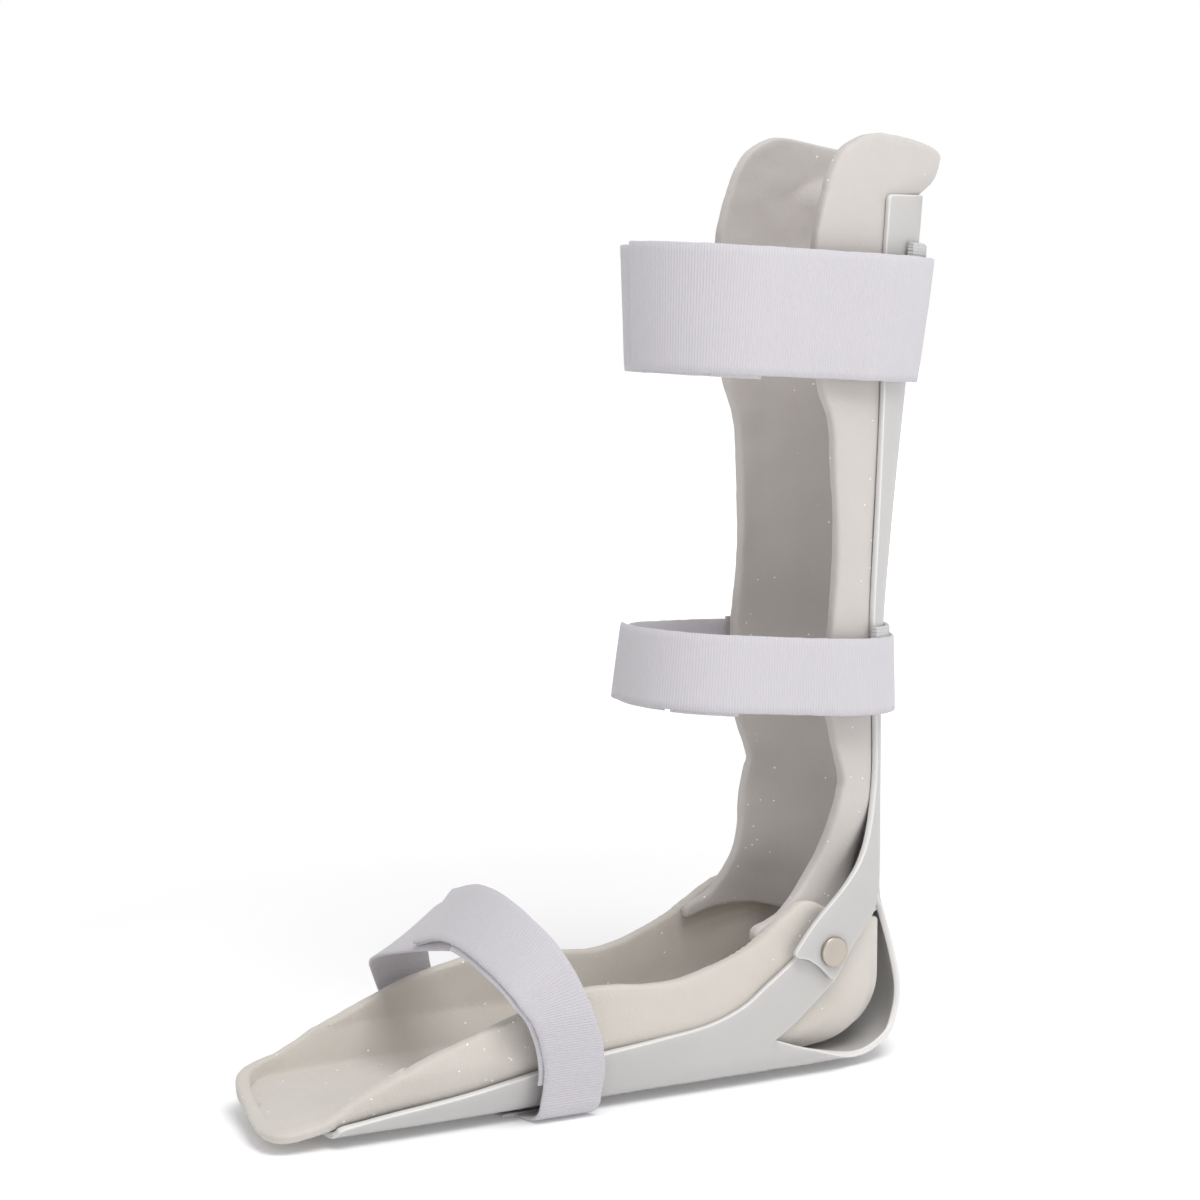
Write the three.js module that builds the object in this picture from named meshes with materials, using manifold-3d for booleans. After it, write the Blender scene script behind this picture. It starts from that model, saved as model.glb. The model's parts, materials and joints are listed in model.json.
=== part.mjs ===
// An ankle foot orthosis for a right foot: a die-cut plastic sheet folded into a calf post,
// a heel band and a sole with side walls, held together by one rivet at each ankle, lined
// with foam and closed by three hook and loop straps.
//
// Frame, in millimetres: toes towards -Y, big toe side (medial) +X, up +Z. The origin lies
// on the underside of the sole, straight below the ankle axis through the two rivets.

import * as THREE from 'three';
import { mergeVertices } from 'three/addons/utils/BufferGeometryUtils.js';
import Module from 'manifold-3d';

const wasm = await Module();
wasm.setup();

// ---- Driving dimensions -------------------------------------------------------------------

const GAP = 0.3; // between pieces that lie against each other
const SHEET = 2.5; // plastic
const FOAM = 5; // liner
const WEBBING = 1.4; // strap
const LINING = 1.2; // inner layer of a doubled strap
const HOOK = 2; // adhesive hook patch behind the calf post
const ADHESIVE = 1; // stands the hook patch off the post

const ANKLE_HEIGHT = 47; // ankle axis above the underside of the sole
const CALF_RADIUS = 40; // outside of the channel-shaped post
const POST_TOP = 342;
const FLEX_TOP = 68; // the post's rear stops here, above the heel band
const LINER_TOP = 365;

const WING_GAP = 0.6; // sliding fit between the calf wing and the foot wing
const FOOT_HALF_WIDTH = CALF_RADIUS - SHEET - WING_GAP; // outside of the foot wings
const FOREFOOT_LATERAL = 44; // the sole widens to this on the little toe side
const HEEL_CENTRE_Y = 7.4; // centre of the round heel, seen from above
const SOLE_BEND = 8; // outer radius where the wall leaves the floor of the sole
const WALL_LEAN = Math.tan(THREE.MathUtils.degToRad(20)); // of the walls beside the forefoot
const UPRIGHT_FROM = 22; // above this height they stand upright
const SOLE_FRONT = -212;
const SOLE_SEAM = -14; // the heel band takes over from the sole here
const HEEL_FLAT_END = 10; // the band's floor stays flat up to here, under the ankle
const LINER_FRONT = -237;

const LINER_TUCK = 8.4; // how far the calf liner steps in to pass inside the foot liner

const RIVET_HEAD = { radius: 6, thickness: 1.3 };
const RIVET_TAIL = { radius: 5, thickness: 0.9 };
const RIVET_SHANK = 2.5;
const RIVET_BORE = 1.6;

const FACETS = { calf: 18, foot: 66, strap: 24, rivet: 28 };

const PLASTIC = { color: 0xe9e9ea, roughness: 0.42, metalness: 0 };
const FOAM_LOOK = { color: 0xf3f0e8, roughness: 0.95, metalness: 0 };
const WEBBING_LOOK = { color: 0xe6e5ec, roughness: 0.9, metalness: 0 };
const HOOK_LOOK = { color: 0xd6d6d6, roughness: 0.8, metalness: 0 };
const NICKEL = { color: 0xb9b4aa, roughness: 0.35, metalness: 1 };

const SIDES = { medial: 1, lateral: -1 };

// ---- Building blocks ----------------------------------------------------------------------

const orthosis = new THREE.Group();

function addPiece(name, geometry, look) {
  const piece = new THREE.Mesh(geometry, new THREE.MeshStandardMaterial(look));
  piece.name = name;
  orthosis.add(piece);
  return piece;
}

// Unit normal of a flat ring of points, whatever plane it lies in.
function ringNormal(ring) {
  const normal = new THREE.Vector3();
  ring.forEach((point, i) => {
    const next = ring[(i + 1) % ring.length];
    normal.add(new THREE.Vector3().crossVectors(point, next));
  });
  return normal.normalize();
}

// Triangles that fill a flat ring, wound the same way round as the ring itself.
function fillRing(ring) {
  const normal = ringNormal(ring);
  const across = new THREE.Vector3().subVectors(ring[1], ring[0]).normalize();
  const up = new THREE.Vector3().crossVectors(normal, across);
  const flat = ring.map((point) => new THREE.Vector2(point.dot(across), point.dot(up)));
  const triangles = THREE.ShapeUtils.triangulateShape(flat, []);
  const area = triangles.reduce((sum, [a, b, c]) => {
    const ab = new THREE.Vector2().subVectors(flat[b], flat[a]);
    const ac = new THREE.Vector2().subVectors(flat[c], flat[a]);
    return sum + ab.cross(ac);
  }, 0);
  return area > 0 ? triangles : triangles.map((triangle) => [...triangle].reverse());
}

// Turns every face over where a closed body is inside out.
function facesOut(geometry) {
  const position = geometry.getAttribute('position');
  const index = geometry.getIndex();
  const corner = [0, 1, 2].map(() => new THREE.Vector3());
  let volume = 0;
  for (let i = 0; i < index.count; i += 3) {
    corner.forEach((point, k) => point.fromBufferAttribute(position, index.getX(i + k)));
    volume += corner[0].dot(new THREE.Vector3().crossVectors(corner[1], corner[2]));
  }
  if (volume < 0) {
    geometry.setIndex(Array.from(index.array).reverse());
  }
  geometry.computeVertexNormals();
  return geometry;
}

// A closed body through a list of flat rings with equal numbers of points. Each side panel is
// split along its shorter diagonal, so that two bodies lofted side by side get matching facets.
function loft(rings) {
  const count = rings[0].length;
  const index = [];
  for (let ring = 0; ring < rings.length - 1; ring += 1) {
    for (let i = 0; i < count; i += 1) {
      const next = (i + 1) % count;
      const [a, b, c, d] = [
        ring * count + i, ring * count + next, (ring + 1) * count + next, (ring + 1) * count + i,
      ];
      const diagonalAC = rings[ring][i].distanceTo(rings[ring + 1][next]);
      const diagonalBD = rings[ring][next].distanceTo(rings[ring + 1][i]);
      index.push(...(diagonalAC < diagonalBD ? [a, b, c, a, c, d] : [a, b, d, b, c, d]));
    }
  }
  const last = (rings.length - 1) * count;
  fillRing(rings[0]).forEach(([a, b, c]) => index.push(c, b, a));
  fillRing(rings.at(-1)).forEach((triangle) => index.push(...triangle.map((i) => i + last)));

  const geometry = new THREE.BufferGeometry();
  geometry.setFromPoints(rings.flat());
  geometry.setIndex(index);
  return facesOut(geometry);
}

function toSolid(geometry) {
  const bare = new THREE.BufferGeometry();
  bare.setAttribute('position', geometry.getAttribute('position'));
  bare.setIndex(geometry.getIndex());
  const merged = mergeVertices(bare, 1e-4);
  return new wasm.Manifold(new wasm.Mesh({
    numProp: 3,
    vertProperties: new Float32Array(merged.getAttribute('position').array),
    triVerts: new Uint32Array(merged.getIndex().array),
  }));
}

function toGeometry(solid) {
  const mesh = solid.getMesh();
  const geometry = new THREE.BufferGeometry();
  geometry.setAttribute('position', new THREE.BufferAttribute(mesh.vertProperties, 3));
  geometry.setIndex(new THREE.BufferAttribute(mesh.triVerts, 1));
  geometry.computeVertexNormals();
  return geometry;
}

// A block wide enough to trim any piece to an outline drawn in the side view (y, z).
function sideBlock(outline, pointsPerCurve = 6) {
  const reach = 100;
  const geometry = new THREE.ExtrudeGeometry(outline, {
    depth: 2 * reach, bevelEnabled: false, curveSegments: pointsPerCurve,
  });
  const across = new THREE.Matrix4().makeBasis(
    new THREE.Vector3(0, 1, 0),
    new THREE.Vector3(0, 0, 1),
    new THREE.Vector3(1, 0, 0),
  );
  geometry.applyMatrix4(across.setPosition(-reach, 0, 0));
  return toSolid(mergeVertices(geometry.deleteAttribute('normal').deleteAttribute('uv')));
}

// A smooth run through side-view points, continuing from where the outline has got to.
function curveThrough(outline, ...points) {
  outline.splineThru(points.map(([y, z]) => new THREE.Vector2(y, z)));
}

function range(count) {
  return Array.from({ length: count + 1 }, (_, i) => i / count);
}

function spread(from, to, count) {
  return range(count).map((t) => THREE.MathUtils.lerp(from, to, t));
}

// A round pin or disc along X from one x to another, on the ankle axis.
function ankleCylinder(radius, xFrom, xTo) {
  const geometry = new THREE.CylinderGeometry(radius, radius, Math.abs(xTo - xFrom), FACETS.rivet);
  geometry.rotateZ(Math.PI / 2);
  geometry.translate((xFrom + xTo) / 2, 0, ANKLE_HEIGHT);
  return toSolid(mergeVertices(geometry.deleteAttribute('normal').deleteAttribute('uv')));
}

// ---- Calf: post and wings, with their liner -----------------------------------------------

// The channel's centre line leans back towards the top, as a calf does.
function calfCentreY(z) {
  const [ankle, lean, leanStart, leanEnd] = [1, 18.5, 140, 380];
  return ankle + lean * THREE.MathUtils.smoothstep(z, leanStart, leanEnd);
}

// Shared by the post and its liner, so that their facets stay parallel.
const POST_HEIGHTS = spread(102, POST_TOP, 8);

// A U open to the front, as a ring of given outer radius and thickness at one height.
function channelRing(z, centreY, outerRadius, thickness) {
  const openFront = -60;
  const side = (radius) => [
    new THREE.Vector3(radius, openFront, z),
    ...range(FACETS.calf).map((t) => new THREE.Vector3(
      radius * Math.cos(t * Math.PI),
      centreY + radius * Math.sin(t * Math.PI),
      z,
    )),
    new THREE.Vector3(-radius, openFront, z),
  ];
  return [...side(outerRadius), ...side(outerRadius - thickness).reverse()];
}

function calfShell() {
  const heights = [20, ...POST_HEIGHTS, POST_TOP + 5];
  const blank = loft(heights.map((z) => channelRing(z, calfCentreY(z), CALF_RADIUS, SHEET)));

  const outline = new THREE.Shape();
  outline.moveTo(23.5, POST_TOP);
  curveThrough(outline, [22, 310], [23, 260], [22, 190], [26, 142], [27.3, 118]);
  curveThrough(outline, [24.5, 102], [20.5, 90], [8, 74.2], [-7, 60.5], [-18, 47]);
  curveThrough(outline, [-12, 44.5], [-5, 40], [0.5, 35.5]);
  curveThrough(outline, [10.7, 48.8], [18, 58], [21, FLEX_TOP]);
  outline.lineTo(80, FLEX_TOP);
  outline.lineTo(80, POST_TOP);
  return toSolid(blank)
    .intersect(sideBlock(outline))
    .subtract(ankleCylinder(RIVET_SHANK + GAP, -60, 60));
}

function calfLiner() {
  const outerRadius = CALF_RADIUS - SHEET - GAP;
  const ring = (z) => {
    const tuck = LINER_TUCK * (1 - THREE.MathUtils.smoothstep(z, 78, 102));
    const flare = 12 * THREE.MathUtils.smoothstep(z, POST_TOP, LINER_TOP - 5);
    return channelRing(z, calfCentreY(z) + flare, outerRadius - tuck, FOAM);
  };
  const heights = [40, 78, 84, 90, 96, ...POST_HEIGHTS, ...spread(348, LINER_TOP + 3, 3)];

  const outline = new THREE.Shape();
  outline.moveTo(80, 356);
  curveThrough(outline, [63, 357.5], [46, 361.8], [30, 364.8], [20, LINER_TOP + 1], [11, 363.4]);
  curveThrough(outline, [3, 358], [-3, 347], [-7, 334], [-9.5, 321], [-9, 271]);
  curveThrough(outline, [-4, 255], [-2, 240], [-0.8, 201], [-4.4, 155], [-1.5, 129], [3.5, 112]);
  curveThrough(outline, [-1, 95], [-3.5, 84.5], [-8, 74.5], [-18, 63.5], [-32, 56]);
  outline.lineTo(-32, 51);
  curveThrough(outline, [-18, 54], [0, 54], [20, 51]);
  outline.lineTo(80, 51);
  outline.lineTo(80, 350);
  return toSolid(loft(heights.map(ring))).intersect(sideBlock(outline));
}

addPiece('calf_shell', toGeometry(calfShell()), PLASTIC);
addPiece('calf_liner', toGeometry(calfLiner()), FOAM_LOOK);

// ---- Foot: sole with side walls, with its liner -------------------------------------------

// Plan of the foot seen from above, along the outside of the plastic walls.
function footPlan() {
  const half = FOOT_HALF_WIDTH;
  const plan = new THREE.Path();
  plan.moveTo(half, HEEL_CENTRE_Y);
  plan.absarc(0, HEEL_CENTRE_Y, half, 0, Math.PI, false);
  plan.lineTo(-half, -30);
  plan.splineThru([
    new THREE.Vector2(-half - 2, -65),
    new THREE.Vector2(-FOREFOOT_LATERAL + 2, -120),
    new THREE.Vector2(-FOREFOOT_LATERAL, -165),
    new THREE.Vector2(-FOREFOOT_LATERAL + 2, -200),
  ]);
  plan.quadraticCurveTo(-FOREFOOT_LATERAL + 4, LINER_FRONT + 8, -22, LINER_FRONT + 5);
  plan.lineTo(18, LINER_FRONT);
  plan.quadraticCurveTo(half, LINER_FRONT - 2, half, LINER_FRONT + 16);
  plan.lineTo(half, HEEL_CENTRE_Y);
  return plan.getSpacedPoints(FACETS.foot).slice(0, -1);
}

// The plan's points with their outward directions.
const FOOT_EDGE = footPlan().map((point, i, plan) => {
  const before = plan.at(i - 1);
  const after = plan[(i + 1) % plan.length];
  return { point, out: new THREE.Vector2(after.y - before.y, before.x - after.x).normalize() };
});

// How far the wall has moved outwards at a height above the floor: it bends up from the
// floor, tightly at the sides and broadly round the heel, and leans out over the forefoot.
function wallReach(point, height, bend) {
  const heelRound = 14 * THREE.MathUtils.smoothstep(point.y, HEEL_CENTRE_Y, HEEL_CENTRE_Y + 25);
  const radius = bend + heelRound;
  const rise = Math.max(radius - height, 0);
  const inset = radius - Math.sqrt(radius * radius - rise * rise);
  const leanStart = THREE.MathUtils.smoothstep(-point.y, 45, 120);
  const leanEnd = 1 - THREE.MathUtils.smoothstep(-point.y, 190, 240);
  return WALL_LEAN * leanStart * leanEnd * height - inset;
}

// A solid bathtub whose surface lies `depth` inside the outside of the plastic.
function footTub(depth, top) {
  const bend = SOLE_BEND - Math.min(depth, SOLE_BEND - 1);
  const steps = [0, 0.04, 0.2, 0.5, 1].map((t) => t * bend);
  const leanTop = UPRIGHT_FROM - depth;
  const heights = [...steps, leanTop, top - depth];
  return toSolid(loft(heights.map((height) => FOOT_EDGE.map(({ point, out }) => {
    const reach = wallReach(point, Math.min(height, leanTop), bend) - depth;
    return new THREE.Vector3(point.x + out.x * reach, point.y + out.y * reach, height + depth);
  }))));
}

function footShell() {
  const outline = new THREE.Shape();
  outline.moveTo(SOLE_FRONT, -5);
  outline.lineTo(SOLE_FRONT, 4);
  curveThrough(outline, [-189, 7], [-161, 10.5], [-131, 15.5], [-107, 19.3], [-78, 21.3]);
  curveThrough(outline, [-56, 23.5], [-40, 28.5], [-15.5, 45], [-9, 52]);
  curveThrough(outline, [-1, 56], [5.5, 52], [6, 42], [2.5, 34]);
  curveThrough(outline, [-3, 29.5], [-13, 21.5], [-25, 13.5]);
  outline.lineTo(SOLE_SEAM - GAP, 9);
  outline.lineTo(SOLE_SEAM - GAP, -5);
  return footTub(0, 70)
    .subtract(footTub(SHEET, 90))
    .intersect(sideBlock(outline))
    .subtract(ankleCylinder(RIVET_SHANK + 2 * GAP, -60, 60));
}

function footLiner() {
  const outside = SHEET + GAP;
  const outline = new THREE.Shape();
  outline.moveTo(LINER_FRONT - 10, -5);
  outline.lineTo(LINER_FRONT - 10, 11);
  outline.lineTo(LINER_FRONT + 8, 11);
  curveThrough(outline, [-217, 12.5], [-199, 16.5], [-174, 26.5], [-143, 37], [-115, 43.5]);
  curveThrough(outline, [-98, 44.4], [-78, 42], [-64, 41.8], [-48.5, 45.7], [-36, 51.5]);
  curveThrough(outline, [-21, 63], [-13, 66], [-2, 61], [12, 60], [30, 55], [43, 50]);
  outline.lineTo(60, 50);
  outline.lineTo(60, -5);
  const pocket = (side) => ankleCylinder(RIVET_TAIL.radius + 2 * GAP, side * 32.2, side * 60);
  return footTub(outside, 90)
    .subtract(footTub(outside + FOAM, 110))
    .intersect(sideBlock(outline))
    .subtract(pocket(1))
    .subtract(pocket(-1));
}

// A smooth function through (t, value) points, for t from 0 to 1.
function profile(...points) {
  const curve = new THREE.SplineCurve(points.map(([t, value]) => new THREE.Vector2(t, value)));
  return (t) => curve.getPoint(t).y;
}

// The band leaves the sole at the seam, runs flat under the ankle, loops behind the heel and
// rises towards the post. Its edges curl up round the heel.
function heelBand() {
  const side = new THREE.Path();
  side.moveTo(HEEL_FLAT_END, 0);
  curveThrough(side, [26, -0.6], [40, 2.4], [48, 10.8], [50.5, 24], [47.5, 40], [42.3, 61.5]);
  const halfWidth = profile([0, 30], [0.33, 26.5], [0.67, 27], [1, 33.5]);
  const edgeLift = profile([0, 0], [0.33, 5], [0.67, 9], [1, 18]);
  const floorPanel = 0.2;
  const acrossSteps = [...spread(-1, -floorPanel, 4), ...spread(floorPanel, 1, 4)];

  const ring = (point, tangent, width, lift) => {
    const inwards = new THREE.Vector3(0, -tangent.y, tangent.x);
    const face = (depth) => acrossSteps.map((u) => new THREE.Vector3(u * width, point.x, point.y)
      .addScaledVector(inwards, lift * u * u + depth));
    return [...face(0), ...face(SHEET).reverse()];
  };
  const start = ring(new THREE.Vector2(SOLE_SEAM, 0), new THREE.Vector2(1, 0), 30, 0);
  const loop = range(15).map((t) => {
    const tangent = t > 0 ? side.getTangentAt(t) : new THREE.Vector2(1, 0);
    return ring(side.getPointAt(t), tangent, halfWidth(t), edgeLift(t));
  });
  return loft([start, ...loop]);
}

addPiece('foot_shell', toGeometry(footShell()), PLASTIC);
addPiece('heel_band', heelBand(), PLASTIC);
addPiece('foot_liner', toGeometry(footLiner()), FOAM_LOOK);

// ---- Ankle rivets: a cap with a hollow shank, and a post pressed into it ---------------------

function rivetProfile(points) {
  const profile = points.map(([radius, along]) => new THREE.Vector2(radius, along));
  return new THREE.LatheGeometry(profile, FACETS.rivet);
}

for (const [side, sign] of Object.entries(SIDES)) {
  const wingFace = CALF_RADIUS + GAP;
  const shankEnd = FOOT_HALF_WIDTH - SHEET - GAP;
  const { radius, thickness } = RIVET_HEAD;
  const edge = 0.5;
  const cap = rivetProfile([
    [0, thickness], [radius - edge, thickness], [radius, thickness - edge], [radius, 0],
    [RIVET_SHANK, 0], [RIVET_SHANK, shankEnd - wingFace], [RIVET_BORE, shankEnd - wingFace],
    [RIVET_BORE, -1], [0, -1],
  ].reverse());
  const post = rivetProfile([
    [0, 4], [RIVET_BORE - GAP, 4], [RIVET_BORE - GAP, 0], [RIVET_TAIL.radius, 0],
    [RIVET_TAIL.radius, -RIVET_TAIL.thickness], [0, -RIVET_TAIL.thickness],
  ].reverse());
  for (const [name, geometry, x] of [
    [`${side}_rivet_cap`, cap, wingFace],
    [`${side}_rivet_post`, post, shankEnd - GAP],
  ]) {
    const rivet = addPiece(name, geometry, NICKEL);
    rivet.position.set(sign * x, 0, ANKLE_HEIGHT);
    rivet.rotation.z = -sign * Math.PI / 2;
  }
}

// ---- Straps ---------------------------------------------------------------------------------

// A strip of webbing along a plan path (x, y), with its inner face `offset` outside the path.
// `lay` turns a point of the strip, its step across and its place on the path into space.
function strip(path, offset, thickness, width, lay) {
  return loft(path.map((point, i) => {
    const before = path[Math.max(i - 1, 0)];
    const after = path[Math.min(i + 1, path.length - 1)];
    const out = new THREE.Vector2(after.y - before.y, before.x - after.x).normalize();
    const corner = (depth, across) => lay(
      new THREE.Vector2().copy(point).addScaledVector(out, offset + depth),
      across,
      point,
    );
    return [
      corner(0, -width / 2), corner(thickness, -width / 2),
      corner(thickness, width / 2), corner(0, width / 2),
    ];
  }));
}

// An arm's path in the strap's own plane: from the hinge at the post's edge, forwards along
// the leg, and round the front up to `endX` (measured towards the far side).
function armPath(start, front, endX) {
  const path = new THREE.Path();
  path.moveTo(start.x, start.y);
  path.bezierCurveTo(
    start.x, start.y - 0.75 * (start.y - front.y),
    front.radius, front.y + 0.2 * (start.y - front.y),
    front.radius, front.y,
  );
  const sweep = Math.PI / 2 + Math.asin(-endX / front.radius);
  path.absarc(0, front.y, front.radius, 0, -sweep, true);
  return path.getSpacedPoints(FACETS.strap);
}

function mirrored(path, sign) {
  return sign > 0 ? path : path.map((point) => new THREE.Vector2(-point.x, point.y)).reverse();
}

// The hook tab takes up this many of an arm's points, counted from its free end.
const TAB_POINTS = 6;

// Thickness of everything that lies between the outer webbing and the far arm.
const INNER_STEP = WEBBING + LINING + 2 * GAP;

// A calf strap: an adhesive hook patch on the post, webbing across it, the medial arm with
// its doubled lining and hook tab outside, and the lateral arm lapping under it.
function addCalfStrap({ name, z, tilt, width, patchWidth, patchShift, frontY, frontRadius }) {
  const strap = new THREE.Group();
  strap.position.set(0, calfCentreY(z), z);
  strap.rotation.x = -THREE.MathUtils.degToRad(tilt);
  orthosis.add(strap);

  const lay = (point, across) => new THREE.Vector3(point.x, point.y, across);
  const add = (part, geometry, look) => strap.add(addPiece(`${name}_${part}`, geometry, look));
  const arc = (radius, halfAngle) => spread(-halfAngle, halfAngle, 20)
    .map((angle) => new THREE.Vector2(-radius * Math.sin(angle), radius * Math.cos(angle)));

  const patchRadius = CALF_RADIUS + ADHESIVE;
  const backRadius = patchRadius + HOOK + GAP;
  const quarter = Math.PI / 2;
  const patch = strip(arc(patchRadius, 0.95), 0, HOOK, patchWidth, lay);
  patch.translate(0, 0, patchShift);
  add('hook_patch', patch, HOOK_LOOK);
  add('back', strip(arc(backRadius, quarter), 0, WEBBING, width, lay), WEBBING_LOOK);

  const start = new THREE.Vector2(backRadius, -GAP);
  const outer = armPath(start, { radius: frontRadius, y: frontY }, -14).reverse();
  add('medial', strip(outer, 0, WEBBING, width, lay), WEBBING_LOOK);

  const inside = -LINING - GAP;
  const lining = outer.slice(TAB_POINTS + 1, -2);
  add('medial_lining', strip(lining, inside, LINING, width - 2, lay), WEBBING_LOOK);
  const tab = outer.slice(0, TAB_POINTS);
  add('hook_tab', strip(tab, inside, LINING, width - 4, lay), HOOK_LOOK);

  const under = { radius: frontRadius - INNER_STEP, y: frontY };
  const lateral = armPath(start, under, -16);
  add('lateral', strip(mirrored(lateral.reverse(), -1), 0, WEBBING, width, lay), WEBBING_LOOK);
}

addCalfStrap({
  name: 'upper_strap', z: 295, tilt: 3.3, width: 49, patchWidth: 54, patchShift: 3,
  frontY: -40, frontRadius: 37,
});
addCalfStrap({
  name: 'lower_strap', z: 156, tilt: 4, width: 30, patchWidth: 34, patchShift: 2,
  frontY: -34, frontRadius: 36,
});

// The foot strap passes under the sole and over the instep. Its path is drawn in the front
// view (x, z). It runs forwards towards the little toe side, and on the way up the webbing
// moves forwards and turns to lie on the instep.
const FOOT_STRAP = {
  width: 26, medialHem: 42.3, lateralHem: -50.5, y: -120, // where it leaves the sole
  skew: 0.15, forward: 26, slope: THREE.MathUtils.degToRad(48),
};

function layOnFoot(point, across, onPath) {
  const skew = FOOT_STRAP.skew * (FOOT_STRAP.medialHem - onPath.x);
  const forward = skew + FOOT_STRAP.forward * THREE.MathUtils.smoothstep(onPath.y, 10, 83);
  const slope = FOOT_STRAP.slope * THREE.MathUtils.smoothstep(onPath.y, 34, 68);
  return new THREE.Vector3(
    point.x,
    FOOT_STRAP.y - forward + across * Math.cos(slope),
    point.y + across * Math.sin(slope),
  );
}

function pathThrough(...points) {
  const path = new THREE.SplineCurve(points.map(([x, z]) => new THREE.Vector2(x, z)));
  return path.getSpacedPoints(FACETS.strap);
}

function addFootStrap() {
  const { width, medialHem, lateralHem } = FOOT_STRAP;
  const [patchHalf, patchWidth, hemHeight] = [28, 38, 6];
  const sole = -ADHESIVE - LINING;
  const inside = -LINING - GAP;
  const add = (part, path, offset, thickness, pieceWidth, look) => addPiece(
    `foot_strap_${part}`, strip(path, offset, thickness, pieceWidth, layOnFoot), look,
  );

  const patch = spread(-patchHalf, patchHalf, 2).map((x) => new THREE.Vector2(x, 0));
  add('hook_patch', patch, GAP, LINING, patchWidth, HOOK_LOOK);

  const under = new THREE.Path();
  under.moveTo(lateralHem, hemHeight);
  under.quadraticCurveTo(lateralHem + 2.5, sole, lateralHem + 11.5, sole);
  under.lineTo(medialHem - 11.3, sole);
  under.quadraticCurveTo(medialHem - 2.3, sole, medialHem, hemHeight);
  add('sole', under.getPoints(8), 0, WEBBING, width, WEBBING_LOOK);

  const hinge = hemHeight + GAP;
  const medial = pathThrough(
    [medialHem, hinge], [45.3, 17], [48.6, 30], [49.9, 43], [46, 58], [30, 69.5], [12, 73.5], [-8, 70],
  );
  add('medial', medial, 0, WEBBING, width, WEBBING_LOOK);
  add('medial_lining', medial.slice(2, -TAB_POINTS - 1), inside, LINING, width - 1, WEBBING_LOOK);
  add('hook_tab', medial.slice(-TAB_POINTS), inside, LINING, width - 4, HOOK_LOOK);

  const lateral = pathThrough(
    [16, 69.5], [-2, 67.5], [-20, 62], [-36, 55], [-48, 46], [-54, 34], [-53.5, 18], [lateralHem, hinge],
  );
  add('lateral', lateral, 0, WEBBING, width, WEBBING_LOOK);
}

addFootStrap();

export default orthosis;
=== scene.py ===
"""Looks of the ankle foot orthosis: its plastic sheet, foam liners, webbing straps and rivets.

Lengths are in millimetres while a shape is worked out, and in metres once it is a mesh. The frame
is the part's own: toes towards -Y, the big toe side +X, up +Z.
"""

import json
import math

import bpy
import numpy as np
from mathutils import Matrix, Vector
from mathutils.geometry import delaunay_2d_cdt
from mathutils.kdtree import KDTree


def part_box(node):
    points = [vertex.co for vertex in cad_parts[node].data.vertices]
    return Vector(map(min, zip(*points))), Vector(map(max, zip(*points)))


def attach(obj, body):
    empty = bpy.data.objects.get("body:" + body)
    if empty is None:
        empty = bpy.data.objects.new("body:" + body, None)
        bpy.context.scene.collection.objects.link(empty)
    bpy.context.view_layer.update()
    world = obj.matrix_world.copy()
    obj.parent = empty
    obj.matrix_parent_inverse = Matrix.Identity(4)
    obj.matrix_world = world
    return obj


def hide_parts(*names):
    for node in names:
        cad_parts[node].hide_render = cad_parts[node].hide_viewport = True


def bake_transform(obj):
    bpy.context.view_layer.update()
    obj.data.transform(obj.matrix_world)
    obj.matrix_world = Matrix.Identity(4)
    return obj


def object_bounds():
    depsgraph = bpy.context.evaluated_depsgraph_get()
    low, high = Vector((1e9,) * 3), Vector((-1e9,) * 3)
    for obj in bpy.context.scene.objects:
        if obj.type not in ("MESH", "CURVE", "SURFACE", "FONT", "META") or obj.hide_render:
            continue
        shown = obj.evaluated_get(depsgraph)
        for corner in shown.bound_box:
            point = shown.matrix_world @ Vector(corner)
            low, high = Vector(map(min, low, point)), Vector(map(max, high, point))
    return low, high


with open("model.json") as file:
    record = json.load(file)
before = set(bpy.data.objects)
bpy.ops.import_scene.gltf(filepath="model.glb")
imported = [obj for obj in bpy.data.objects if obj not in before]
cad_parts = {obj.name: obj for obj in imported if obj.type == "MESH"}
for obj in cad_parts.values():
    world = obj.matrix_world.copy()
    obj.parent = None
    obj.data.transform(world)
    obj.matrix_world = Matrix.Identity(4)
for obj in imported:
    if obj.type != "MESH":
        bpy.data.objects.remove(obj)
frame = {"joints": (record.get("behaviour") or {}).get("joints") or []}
cad_low, cad_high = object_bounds()

MM = 0.001
UV_PER_MM = 0.01

# ---- Dimensions taken from the frame ----


def node_box(node):
    """Lowest and highest corner of a CAD node, in millimetres."""
    low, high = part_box(node)
    return np.array(low) / MM, np.array(high) / MM


JOINTS = {joint["name"]: joint for joint in frame["joints"]}
ANKLE_HEIGHT = JOINTS["ankle_flex"]["pos_m"][2] / MM

SHEET = 2.5
FOAM = 5.3
GAP = 0.3
WEBBING = 1.5
LINING = 1.2  # the second layer of a strap's outer arm
CUT_EDGE = 0.55  # radius of the plastic's cut edges

CALF_RADIUS, _, POST_TOP = node_box("calf_shell")[1]
LINER_TOP = node_box("calf_liner")[1][2] - 1
SOLE_FRONT = node_box("foot_shell")[0][1]
LINER_FRONT = node_box("foot_liner")[0][1]
LINER_TUCK = 8.4  # the calf liner steps in below, to pass inside the foot liner

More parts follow.
